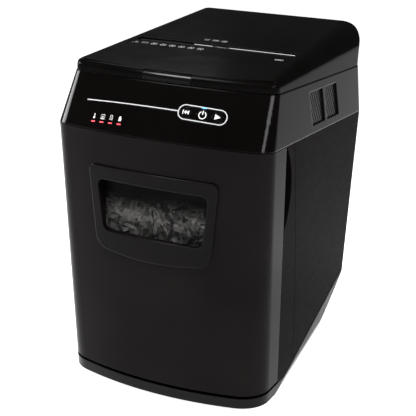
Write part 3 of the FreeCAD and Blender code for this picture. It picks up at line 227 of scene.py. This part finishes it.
def paper(name):
    """Office paper: each strip its own grey, with printed marks and a fibrous surface."""
    material, tree, shader = new_material(name)
    print_marks = texture(tree, NOISE, 300, 5, (1, 3, 1))
    fibres = texture(tree, NOISE, 1500, 4)
    each = tree.nodes.new("ShaderNodeNewGeometry")
    sheet = two_colours(tree, each.outputs["Random Per Island"], (0.07, 0.065, 0.065), (0.88, 0.86, 0.84),
                        0, 1)
    ink = two_colours(tree, print_marks.outputs["Fac"], (0.35, 0.35, 0.36), (1, 1, 1), 0.33, 0.36)
    mix = tree.nodes.new("ShaderNodeMix")
    mix.data_type = "RGBA"
    mix.blend_type = "MULTIPLY"
    mix.inputs["Factor"].default_value = 1.0
    tree.links.new(sheet, mix.inputs["A"])
    tree.links.new(ink, mix.inputs["B"])
    tree.links.new(mix.outputs["Result"], shader.inputs["Base Color"])
    shader.inputs["Roughness"].default_value = 0.85
    shader.inputs["Specular IOR Level"].default_value = 0.2
    bump(tree, shader, fibres.outputs["Fac"], 0.0001, 0.5)
    return material


def board(name):
    """Green solder mask with copper tracks just showing through."""
    material, tree, shader = new_material(name)
    tracks = texture(tree, "ShaderNodeTexVoronoi", 160)
    tree.links.new(two_colours(tree, tracks.outputs["Distance"], (0.02, 0.10, 0.05), (0.04, 0.20, 0.09)),
                   shader.inputs["Base Color"])
    shader.inputs["Roughness"].default_value = 0.35
    return material


# Each plastic: colour, roughness, gloss, depth of grain, scale of grain, colour drift, and the
# radius in millimetres to which its edges are shaded
PLASTICS = {
    "satin_black": ((0.0046, 0.0041, 0.0039), 0.22, 0.05, 0.06, 1400, 0.25, 0.4),
    "gloss_black": ((0.0018, 0.0015, 0.0014), 0.06, 0.040, 0.01, 1400, 0.25, 2.4),
    "front_black": ((0.0042, 0.0035, 0.0034), 0.13, 0.022, 0.03, 1400, 0.25, 0.8),
    "bezel_black": ((0.0026, 0.0021, 0.0020), 0.07, 0.036, 0.01, 1400, 0.25, 2.6),
    "lid_black": ((0.0018, 0.0016, 0.0015), 0.15, 0.018, 0.03, 1400, 0.25, 2.4),
    "side_black": ((0.0030, 0.0024, 0.0023), 0.28, 0.0025, 0.06, 1400, 0.25, 0.4),
    "grey_trim": ((0.42, 0.42, 0.43), 0.35, 0.5, 0.05, 1200, 0.08, 0.4),
    "button_black": ((0.0030, 0.0028, 0.0028), 0.10, 0.08, 0.01, 1400, 0.25, 0.4),
    "rubber_black": ((0.018, 0.018, 0.018), 0.75, 0.25, 0.5, 700, 0.25, 0.4),
    "gear_nylon": ((0.72, 0.69, 0.60), 0.45, 0.4, 0.10, 500, 0.06, 0.4),
    "inner_grey": ((0.035, 0.035, 0.036), 0.50, 0.10, 0.25, 900, 0.25, 0.4),
    "tub_black": ((0.008, 0.008, 0.008), 0.50, 0.06, 0.25, 900, 0.25, 0.4),
    "print_white": ((0.62, 0.61, 0.60), 0.45, 0.3, 0.05, 2000, 0.06, 0.4),
    "print_grey": ((0.36, 0.35, 0.34), 0.45, 0.3, 0.05, 2000, 0.06, 0.4),
}


def build_materials():
    """One material for each of the record's slots and each finish."""
    made = {name: plastic(name, *values) for name, values in PLASTICS.items()}
    made.update({
        "light_red": light_window("light_red", (0.70, 0.06, 0.08), 0.45),
        "light_blue": light_window("light_blue", (0.12, 0.42, 0.95), 1.2),
        "smoke_lens": smoke("smoke_lens"),
        "paper_mix": paper("paper_mix"),
        "hard_steel": metal("hard_steel", (0.50, 0.49, 0.48), 0.28, (6, 1, 1)),
        "zinc_steel": metal("zinc_steel", (0.62, 0.62, 0.63), 0.34, (1, 1, 5)),
        "board_green": board("board_green"),
        "bronze": metal("bronze", (0.60, 0.42, 0.22), 0.4, (1, 1, 1), 500),
    })
    return made


materials = build_materials()


def dress(piece, slot, finish=None):
    """Give a piece the material of a slot, or a finish of its own."""
    piece.data.materials.clear()
    piece.data.materials.append(materials[finish or slot])


# ---- Mesh helpers ---------------------------------------------------------------------------
def add_object(name, mesh):
    """Put a mesh into the scene as an object."""
    piece = bpy.data.objects.new(name, mesh)
    scene.collection.objects.link(piece)
    return piece


def surface_of(piece):
    """A search tree of a piece's surface."""
    return BVHTree.FromPolygons([v.co for v in piece.data.vertices],
                                [tuple(f.vertices) for f in piece.data.polygons])


# ---- Everything the CAD already shapes ------------------------------------------------------
finishes = {
    "bin_front": "front_black",
    "window_bezel": "bezel_black",
    "lid_shell": "lid_black",
    "release_button": "button_black",
}


def dress_frame():
    """Give every carried-over CAD node its procedural material."""
    for name, node in nodes.items():
        dress(node, slot_of[name], finishes.get(name))


# ---- Printed marks --------------------------------------------------------------------------
def stroke(points, width, closed=False):
    """A line of a given width along points, as quads."""
    count = len(points)
    sides = []
    for index, point in enumerate(points):
        before = points[(index - 1) % count] if closed or index else point
        after = points[(index + 1) % count] if closed or index < count - 1 else point
        run = Vector((after[0] - before[0], after[1] - before[1])).normalized()
        across = Vector((-run.y, run.x)) * width / 2
        sides.append(((point[0] + across.x, point[1] + across.y), (point[0] - across.x, point[1] - across.y)))
    verts = [corner for pair in sides for corner in pair]
    last = count if closed else count - 1
    faces = []
    for index in range(last):
        a, b = 2 * index, 2 * ((index + 1) % count)
        faces.append((a, b, b + 1, a + 1))
    return verts, faces


def filled(points):
    """A filled outline as one face."""
    return list(points), [tuple(range(len(points)))]


def arc(x, y, radius, start=0, end=360, steps=28):
    """Points round part of a circle."""
    angles = [math.radians(start + (end - start) * index / steps) for index in range(steps + 1)]
    return [(x + radius * math.cos(a), y + radius * math.sin(a)) for a in angles]


def ring(x, y, radius, width):
    """A closed ring."""
    return stroke(arc(x, y, radius)[:-1], width, True)


def printed(name, shapes, base, centre, right, up, finish, body):
    """Lay flat marks, drawn in millimetres, on a node's surface just proud of it."""
    out = right.cross(up).normalized()
    surface = surface_of(base)
    verts, faces = [], []
    for points, loops in shapes:
        first = len(verts)
        for x, y in points:
            start = centre + right * (x * MM) + up * (y * MM)
            hit = surface.ray_cast(start + out * AIM_START, -out, AIM_REACH)
            spot = hit[0] if hit[0] is not None else start
            verts.append(spot + out * PRINT_RISE)
        faces += [tuple(first + index for index in loop) for loop in loops]
    mesh = bpy.data.meshes.new(name)
    mesh.from_pydata(verts, [], faces)
    mesh.update()
    piece = add_object(name, mesh)
    dress(piece, "grey_trim", finish)
    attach(piece, body)


def centre_of(node):
    """Middle of a node's box."""
    low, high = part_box(node)
    return (Vector(low) + Vector(high)) / 2


def control_marks(band):
    """Symbols on the three buttons and over the four lights."""
    up = Vector((0, math.sin(PANEL_LEAN), math.cos(PANEL_LEAN)))
    tall = 2.9
    back = [stroke([(-4.0, -tall), (-4.0, tall)], 1.1)]
    for tip in (-2.7, 1.0):
        back.append(filled([(tip, 0), (tip + 3.4, tall), (tip + 3.4, -tall)]))
    power = [stroke(arc(0, 0, 4.9, 118, 422), 1.25), stroke([(0, 0.6), (0, 6.2)], 1.25)]
    play = [filled([(-3.4, 3.7), (-3.4, -3.7), (4.6, 0)])]
    for node, shapes, shift in (("reverse_button", back, 0.0), ("power_button", power, -0.6),
                                ("forward_button", play, 0.0)):
        middle = centre_of(node) + up * (shift * MM)
        printed(node + ".symbol", shapes, nodes[node], middle, RIGHT, up, "print_white", node)
    low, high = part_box("indicator_lights")
    pitch = (high[0] - low[0] - LIGHT_WIDTH) / 3
    pictures = [
        [stroke([(0, -0.6), (0, 3.4)], 1.1), filled(arc(0, -2.0, 1.5, 0, 330, 12))],
        [stroke([(-2.8, 3), (2.8, 3), (2.8, -1.4), (-2.8, -1.4)], 0.55, True),
         filled([(-1.3, 0.9), (1.3, 0.9), (0, -0.7)]), stroke([(-3.2, -3.0), (3.2, -3.0)], 0.9)],
        [stroke([(-2.0, 3.2), (1.0, 3.2), (2.0, 2.2), (2.0, -3.0), (-2.0, -3.0)], 0.6, True),
         stroke([(-0.9, 0.9), (0.9, 0.9)], 0.5), stroke([(-0.9, -0.7), (0.9, -0.7)], 0.5)],
        [filled([(-1.7, -3.2), (1.7, -3.2), (2.3, -0.6), (1.4, 2.0), (0.5, 3.4), (-0.9, 3.2), (-1.9, 1.2)])],
    ]
    for index, shapes in enumerate(pictures):
        spot = Vector((low[0] + LIGHT_WIDTH / 2 + index * pitch, (low[1] + high[1]) / 2,
                       high[2] + LIGHT_SYMBOL_RISE))
        printed("light_symbol.%d" % index, shapes, band, spot, RIGHT, up, "print_white", "housing")


def lid_marks(lid):
    """A row of pictograms ahead of the slot, one group behind it and a badge at its end."""
    low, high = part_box("slot_insert")
    middle = (Vector(low) + Vector(high)) / 2
    up = Vector((0, math.cos(LID_SLOPE), math.sin(LID_SLOPE)))

    def forbid(extra):
        """A barred ring round a small shape."""
        return [ring(0, 0, 4.4, 0.7), stroke([(-3.0, 3.0), (3.0, -3.0)], 0.7)] + extra

    def mark_row(name, pictures, first, pitch, rise):
        """Print pictures side by side: the first one's place, their pitch and their rise, in millimetres."""
        for index, shapes in enumerate(pictures):
            spot = middle + RIGHT * ((first + pitch * index) * MM) + up * (rise * MM)
            printed("%s.%d" % (name, index), shapes, lid, spot, RIGHT, up, "print_grey", "lid")

    row = [
        [stroke([(-4.8, -3.8), (4.8, -3.8), (0, 4.4)], 0.7, True), stroke([(0, -1.2), (0, 2.0)], 0.8),
         filled(arc(0, -2.5, 0.5, 0, 330, 8))],
        [stroke([(-4.2, -3.2), (0, -2.4), (4.2, -3.2), (4.2, 3.2), (0, 4.0), (-4.2, 3.2)], 0.6, True),
         stroke([(0, -2.4), (0, 4.0)], 0.5)],
        forbid([stroke([(-1.6, -1.8), (-1.6, 1.8), (1.6, 1.8), (1.6, -1.8)], 0.5, True)]),
        forbid([stroke([(-2.2, 0), (2.2, 0)], 0.9)]),
        forbid([ring(0, 0, 1.6, 0.5)]),
        forbid([stroke([(-1.8, -1.4), (0, 1.8), (1.8, -1.4)], 0.6)]),
        forbid([stroke([(0, -2.4), (0, 2.4)], 0.9)]),
        forbid([filled([(-1.4, -1.4), (1.4, -1.4), (1.4, 1.4), (-1.4, 1.4)])]),
    ]
    mark_row("lid_mark", row, -117, 15, -21)
    group = [
        [stroke([(-2.8, -3.8), (2.8, -3.8), (2.8, 3.8), (-2.8, 3.8)], 0.6, True),
         stroke([(-1.4, 1.6), (1.4, 1.6)], 0.5), stroke([(-1.4, 0), (1.4, 0)], 0.5)],
        [stroke([(-4.4, -2.8), (4.4, -2.8), (4.4, 2.8), (-4.4, 2.8)], 0.6, True),
         stroke([(-4.2, 1.2), (4.2, 1.2)], 1.1)],
        [ring(0, 0, 4.2, 0.7), ring(0, 0, 1.2, 0.7)],
    ]
    mark_row("entry_mark", group, -26, 14, 31)
    badge = [stroke([(-3.2, -2.6), (3.2, -2.6)] + arc(3.2, 0, 2.6, -90, 90, 10) +
                    arc(-3.2, 0, 2.6, 90, 270, 10), 0.8, True),
             stroke([(-2.8, 0), (2.8, 0)], 1.4)]
    printed("slot_badge", badge, lid, middle + RIGHT * (113 * MM) - up * (30 * MM), RIGHT, up,
            "print_grey", "lid")


def release_mark(button):
    """The arrow pressed into the release button."""
    low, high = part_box("release_button")
    spot = Vector(((low[0] + high[0]) / 2, low[1] + 8 * MM, high[2]))
    printed("release_arrow", [stroke([(-2.6, -1.2), (0, 1.4), (2.6, -1.2)], 0.9)], button, spot,
            RIGHT, BACK, "print_grey", "release_button")


# ---- Shredded paper -------------------------------------------------------------------------
def shred_strips():
    """Crinkled cross-cut strips over the heap's top and its front, behind the window."""
    rng = random.Random(11)
    low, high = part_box("paper_shreds")
    core = nodes["paper_shreds"]
    surface = surface_of(core)
    work = bmesh.new()
    work.from_mesh(core.data)

    def strip(spot, along, out):
        """One strip lying near a surface, bent and twisted along its length."""
        length = rng.uniform(*STRIP_LENGTHS) * MM
        width = rng.uniform(*STRIP_WIDTHS) * MM
        side = out.cross(along).normalized()
        bend = rng.uniform(-2.6, 2.6) * MM
        twist = rng.uniform(-0.9, 0.9)
        lean = rng.uniform(-0.7, 0.7)
        phase = rng.uniform(0, 6.3)
        row = []
        for step in range(STRIP_STEPS + 1):
            share = step / STRIP_STEPS - 0.5
            turn = lean + twist * share
            across = side * math.cos(turn) + out * math.sin(turn)
            rise = bend * math.cos(share * 5 + phase) + 0.4 * MM * math.sin(share * 17 + phase)
            middle = spot + along * (length * share) + out * rise
            row.append((work.verts.new(middle + across * width / 2),
                        work.verts.new(middle - across * width / 2)))
        for a, b in zip(row, row[1:]):
            work.faces.new((a[0], b[0], b[1], a[1]))

    for _ in range(TOP_STRIPS):
        x = rng.uniform(low[0] + HEAP_SIDE_ROOM, high[0] - HEAP_SIDE_ROOM)
        y = rng.uniform(low[1] + HEAP_END_ROOM, high[1] - HEAP_END_ROOM)
        hit = surface.ray_cast(Vector((x, y, high[2] + AIM_ROOM)), -UP)
        if hit[0] is None:
            continue
        angle = rng.uniform(0, math.tau)
        tilt = Vector((math.cos(angle), math.sin(angle), rng.uniform(-0.35, 0.35))).normalized()
        strip(hit[0] + Vector((0, 0, rng.uniform(0.0, 3.5) * MM)), tilt, UP)
    for _ in range(FRONT_STRIPS):
        x = rng.uniform(-WINDOW_HALF, WINDOW_HALF)
        z = rng.uniform(WINDOW_LOW, high[2] - HEAP_CREST_ROOM)
        hit = surface.ray_cast(Vector((x, low[1] - AIM_ROOM, z)), BACK)
        if hit[0] is None:
            continue
        angle = rng.uniform(0, math.tau)
        tilt = Vector((math.cos(angle), rng.uniform(-0.12, 0.12), math.sin(angle))).normalized()
        strip(hit[0] - Vector((0, rng.uniform(0.5, 4.0) * MM, 0)), tilt, -BACK)
    mesh = bpy.data.meshes.new("shredded_paper")
    work.to_mesh(mesh)
    work.free()
    for face in mesh.polygons:
        face.use_smooth = True
    piece = add_object("shredded_paper", mesh)
    dress(piece, "paper_mix")
    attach(piece, "bin")
    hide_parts("paper_shreds")


# ---- Stage, light and camera ----------------------------------------------------------------
def make_stage():
    """A plain pale floor, a dim surround and soft studio lights."""
    bpy.ops.mesh.primitive_plane_add(size=40, location=(0, 0, cad_box[0][2]))
    floor = bpy.context.object
    floor.name = "floor"
    material, _, shader = new_material("pale_floor")
    shader.inputs["Base Color"].default_value = (0.86, 0.86, 0.86, 1)
    shader.inputs["Roughness"].default_value = 0.9
    shader.inputs["Specular IOR Level"].default_value = 0.1
    shader.inputs["Emission Color"].default_value = (1, 1, 1, 1)
    shader.inputs["Emission Strength"].default_value = 0.96
    floor.data.materials.append(material)
    world = bpy.data.worlds.new("studio")
    scene.world = world
    world.use_nodes = True
    surround = world.node_tree.nodes["Background"]
    surround.inputs["Color"].default_value = (0.80, 0.80, 0.80, 1)
    surround.inputs["Strength"].default_value = 0.07
    # Each light: its place in metres, its two sizes, its power in watts and what it is aimed at
    lights = [
        ("overhead", (-0.80, -0.85, 2.3), (0.9, 0.6), 72, (0, 0, 0.4)),
        ("corner_box", (1.55, -0.78, 1.45), (0.9, 0.5), 46, (0.14, -0.19, 0.42)),
        ("left_box", (-2.0, -0.45, 1.0), (0.8, 0.6), 60, (-0.14, -0.19, 0.42)),
        ("back_fill", (-1.6, 2.2, 2.2), (0.9, 0.6), 5, (0, 0, 0.3)),
    ]
    for name, place, size, power, target in lights:
        lamp = bpy.data.lights.new(name, "AREA")
        lamp.shape = "RECTANGLE"
        lamp.size, lamp.size_y = size
        lamp.energy = power
        holder = bpy.data.objects.new(name, lamp)
        scene.collection.objects.link(holder)
        holder.location = place
        holder.rotation_euler = (Vector(target) - Vector(place)).to_track_quat("-Z", "Y").to_euler()
    scene.view_settings.view_transform = "Standard"


def make_camera():
    """The camera: its place, its turn to the side, its tilt down and its small roll."""
    forward = Vector((-math.sin(CAMERA_TURN) * math.cos(CAMERA_TILT),
                      math.cos(CAMERA_TURN) * math.cos(CAMERA_TILT), -math.sin(CAMERA_TILT)))
    level = Vector((math.cos(CAMERA_TURN), math.sin(CAMERA_TURN), 0))
    upright = level.cross(forward)
    across = level * math.cos(CAMERA_ROLL) + upright * math.sin(CAMERA_ROLL)
    above = upright * math.cos(CAMERA_ROLL) - level * math.sin(CAMERA_ROLL)
    lens = bpy.data.cameras.new("camera")
    lens.lens = LENS
    lens.sensor_width = SENSOR
    camera = bpy.data.objects.new("camera", lens)
    scene.collection.objects.link(camera)
    turn = Matrix((across, above, -forward)).transposed().to_4x4()
    camera.matrix_world = Matrix.Translation(CAMERA_PLACE) @ turn
    scene.camera = camera


def build_looks():
    """The printed marks and the shredded paper."""
    control_marks(nodes["control_band"])
    lid_marks(nodes["lid_shell"])
    release_mark(nodes["release_button"])
    shred_strips()


dress_frame()
make_camera()
make_stage()
build_looks()
